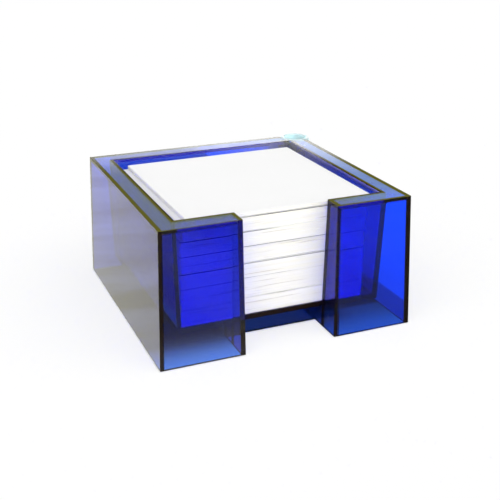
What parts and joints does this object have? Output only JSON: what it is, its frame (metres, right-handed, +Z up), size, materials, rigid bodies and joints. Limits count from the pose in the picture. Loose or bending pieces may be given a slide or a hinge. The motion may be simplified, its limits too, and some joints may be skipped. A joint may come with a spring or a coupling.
{
  "type": "memo holder with pen stand",
  "caption": "Square clear blue desk box for loose note sheets, double walled, with a wide finger gap in front and a round pen tube set into one rear corner.",
  "frame": {"origin": "centre of the whole part's footprint, on the surface that it stands on", "axes": "+Z up, -Y towards the finger gap, +X to the right seen from the finger gap; the pen tube is at +X +Y"},
  "size_m": [0.1262, 0.1254, 0.0635],
  "materials": {
    "clear_blue_plastic": "polished clear cobalt blue moulded polystyrene, dark where it is seen edge on",
    "clear_pale_blue_plastic": "polished clear pale blue plastic tube",
    "white_note_paper": null
  },
  "bodies": {
    "box": {"box_shell": "clear_blue_plastic", "pen_tube": "clear_pale_blue_plastic"},
    "bundle_1": {"note_bundle_1": "white_note_paper"},
    "bundle_2": {"note_bundle_2": "white_note_paper"},
    "bundle_3": {"note_bundle_3": "white_note_paper"},
    "bundle_4": {"note_bundle_4": "white_note_paper"},
    "bundle_5": {"note_bundle_5": "white_note_paper"},
    "bundle_6": {"note_bundle_6": "white_note_paper"},
    "sheets": {"top_sheets": "white_note_paper"}
  },
  "joints": [
    {"name": "lift_bundle_1", "type": "slide", "parent": "box", "child": "bundle_1", "axis": [0, 0, 1], "range_m": [0, 0.0536]},
    {"name": "lift_bundle_2", "type": "slide", "parent": "bundle_1", "child": "bundle_2", "axis": [0, 0, 1], "range_m": [0, 0.0453]},
    {"name": "lift_bundle_3", "type": "slide", "parent": "bundle_2", "child": "bundle_3", "axis": [0, 0, 1], "range_m": [0, 0.0354]},
    {"name": "lift_bundle_4", "type": "slide", "parent": "bundle_3", "child": "bundle_4", "axis": [0, 0, 1], "range_m": [0, 0.0282]},
    {"name": "lift_bundle_5", "type": "slide", "parent": "bundle_4", "child": "bundle_5", "axis": [0, 0, 1], "range_m": [0, 0.0202]},
    {"name": "lift_bundle_6", "type": "slide", "parent": "bundle_5", "child": "bundle_6", "axis": [0, 0, 1], "range_m": [0, 0.0129]},
    {"name": "lift_top_sheets", "type": "slide", "parent": "bundle_6", "child": "sheets", "axis": [0, 0, 1], "range_m": [0, 0.0062]}
  ]
}
